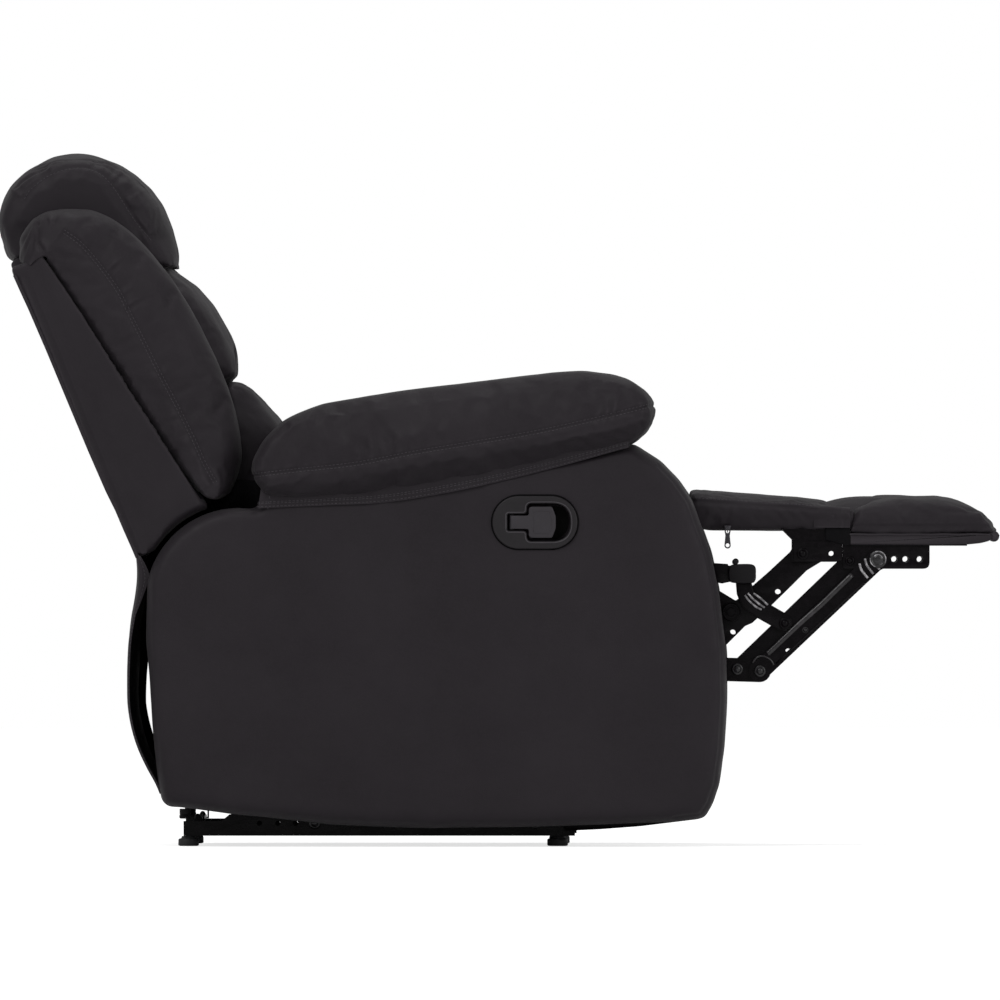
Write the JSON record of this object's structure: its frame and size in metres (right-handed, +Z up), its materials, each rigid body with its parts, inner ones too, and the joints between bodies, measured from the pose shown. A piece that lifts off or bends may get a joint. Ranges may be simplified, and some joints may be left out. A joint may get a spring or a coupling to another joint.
{
  "type": "reclining armchair",
  "caption": "Push-back reclining armchair with pillow arms, rolled back cushions, side release lever and a folding linkage footrest, shown raised.",
  "frame": {"origin": "on the floor, under the middle of the overall box", "axes": "+X forward from the back to the footrest, +Y to the sitter's left, +Z up"},
  "size_m": [1.3446, 0.864, 0.9359],
  "materials": {
    "leather": "matte grained faux leather, near black",
    "black_steel": "gloss black painted steel",
    "spring_steel": "plain drawn wire",
    "timber": "sawn softwood",
    "plywood": "plywood sheet",
    "lever_plastic": "fine textured black plastic",
    "foot_plastic": "moulded dark grey plastic",
    "webbing": "woven elastic webbing",
    "cable_sheath": "smooth black sheath",
    "nickel": "worn nickel plate"
  },
  "bodies": {
    "base": {"right_base_rail": "black_steel", "left_base_rail": "black_steel", "front_base_tube": "black_steel", "rear_base_tube": "black_steel", "right_front_foot": "foot_plastic", "left_front_foot": "foot_plastic", "right_rear_foot": "foot_plastic", "left_rear_foot": "foot_plastic"},
    "front_links": {"right_front_glide_link": "black_steel", "left_front_glide_link": "black_steel"},
    "rear_links": {"right_rear_glide_link": "black_steel", "left_rear_glide_link": "black_steel"},
    "body": {"right_seat_plate": "black_steel", "left_seat_plate": "black_steel", "front_seat_rail": "timber", "rear_seat_rail": "timber", "seat_springs": "spring_steel", "right_arm_frame": "plywood", "left_arm_frame": "plywood", "right_arm_cover": "leather", "left_arm_cover": "leather", "right_arm_pad": "leather", "left_arm_pad": "leather", "lever_bezel": "lever_plastic", "release_cable": "cable_sheath", "seat_cushion": "leather", "rear_curtain": "leather"},
    "lever": {"release_lever": "lever_plastic"},
    "latch": {"footrest_latch": "black_steel"},
    "back": {"back_frame": "timber", "back_webbing": "webbing", "back_panel": "leather", "right_back_bracket": "black_steel", "left_back_bracket": "black_steel", "right_back_side": "leather", "left_back_side": "leather", "right_wing": "leather", "left_wing": "leather", "head_roll": "leather", "middle_roll": "leather", "lower_roll": "leather"},
    "knee_links": {"right_knee_link": "black_steel", "left_knee_link": "black_steel", "drive_tube": "black_steel"},
    "long_links": {"right_long_link": "black_steel", "left_long_link": "black_steel"},
    "inner_links": {"right_inner_link": "black_steel", "left_inner_link": "black_steel"},
    "mid_links": {"right_mid_link": "black_steel", "left_mid_link": "black_steel"},
    "cross_links": {"right_cross_link": "black_steel", "left_cross_link": "black_steel"},
    "ottoman": {"right_foot_bracket": "black_steel", "left_foot_bracket": "black_steel", "foot_board": "plywood", "foot_cushion": "leather"},
    "flap": {"right_flap_bracket": "black_steel", "left_flap_bracket": "black_steel", "flap_pad": "leather"},
    "pull": {"zip_pull": "nickel"}
  },
  "joints": [
    {"name": "glide", "type": "hinge", "parent": "base", "child": "front_links", "pos_m": [0.048, 0, 0.031], "axis": [0, 1, 0], "range_deg": [-4.44, 24.44]},
    {"name": "body_on_front_links", "type": "hinge", "parent": "front_links", "child": "body", "pos_m": [0.02305, 0, 0.14838], "axis": [0, 1, 0], "range_deg": [-24.6, 4.6]},
    {"name": "rear_glide", "type": "hinge", "parent": "base", "child": "rear_links", "pos_m": [-0.25, 0, 0.031], "axis": [0, 1, 0], "range_deg": [-4.6, 24.6]},
    {"name": "back_recline", "type": "hinge", "parent": "body", "child": "back", "pos_m": [-0.351, 0, 0.3294], "axis": [0, -1, 0], "range_deg": [-4.1, 22.1]},
    {"name": "footrest", "type": "hinge", "parent": "body", "child": "knee_links", "pos_m": [0.15, 0, 0.32], "axis": [0, 1, 0], "range_deg": [0, 105.2]},
    {"name": "long_link_turn", "type": "hinge", "parent": "knee_links", "child": "long_links", "pos_m": [0.35047, 0, 0.23627], "axis": [0, 1, 0], "range_deg": [-81.5, 1]},
    {"name": "ottoman_turn", "type": "hinge", "parent": "long_links", "child": "ottoman", "pos_m": [0.50978, 0, 0.38719], "axis": [0, 1, 0], "range_deg": [-1, 66.5]},
    {"name": "inner_link_turn", "type": "hinge", "parent": "knee_links", "child": "inner_links", "pos_m": [0.31998, 0, 0.23896], "axis": [0, 1, 0], "range_deg": [-84.5, 1]},
    {"name": "mid_link_turn", "type": "hinge", "parent": "knee_links", "child": "mid_links", "pos_m": [0.27028, 0, 0.26976], "axis": [0, 1, 0], "range_deg": [-96.8, 1]},
    {"name": "flap_turn", "type": "hinge", "parent": "mid_links", "child": "flap", "pos_m": [0.4082, 0, 0.39456], "axis": [0, 1, 0], "range_deg": [-1, 81.6]},
    {"name": "cross_link_turn", "type": "hinge", "parent": "body", "child": "cross_links", "pos_m": [0.21076, 0, 0.36629], "axis": [0, 1, 0], "range_deg": [-1, 103.2]},
    {"name": "pull_swing", "type": "hinge", "parent": "flap", "child": "pull", "pos_m": [0.307, 0, 0.42506], "axis": [0, 1, 0], "range_deg": [-90, 30]},
    {"name": "release", "type": "hinge", "parent": "body", "child": "lever", "pos_m": [0.0164, -0.3889, 0.437], "axis": [0, 0, -1], "range_deg": [0, 35], "stiffness_Nm_per_rad": 0.6},
    {"name": "latch_turn", "type": "hinge", "parent": "body", "child": "latch", "pos_m": [0.092, 0, 0.306], "axis": [0, 1, 0], "range_deg": [-0.5, 18]}
  ],
  "couplings": [
    {"joint": "body_on_front_links", "follows": "glide", "ratio": -1},
    {"joint": "rear_glide", "follows": "glide", "ratio": 1},
    {"joint": "back_recline", "follows": "glide", "ratio": 0.9},
    {"joint": "long_link_turn", "follows": "footrest", "ratio": -0.7675},
    {"joint": "ottoman_turn", "follows": "footrest", "ratio": 0.623},
    {"joint": "inner_link_turn", "follows": "footrest", "ratio": -0.7966},
    {"joint": "mid_link_turn", "follows": "footrest", "ratio": -0.9126},
    {"joint": "flap_turn", "follows": "footrest", "ratio": 0.7681},
    {"joint": "cross_link_turn", "follows": "footrest", "ratio": 0.974},
    {"joint": "latch_turn", "follows": "release", "ratio": 0.5}
  ]
}
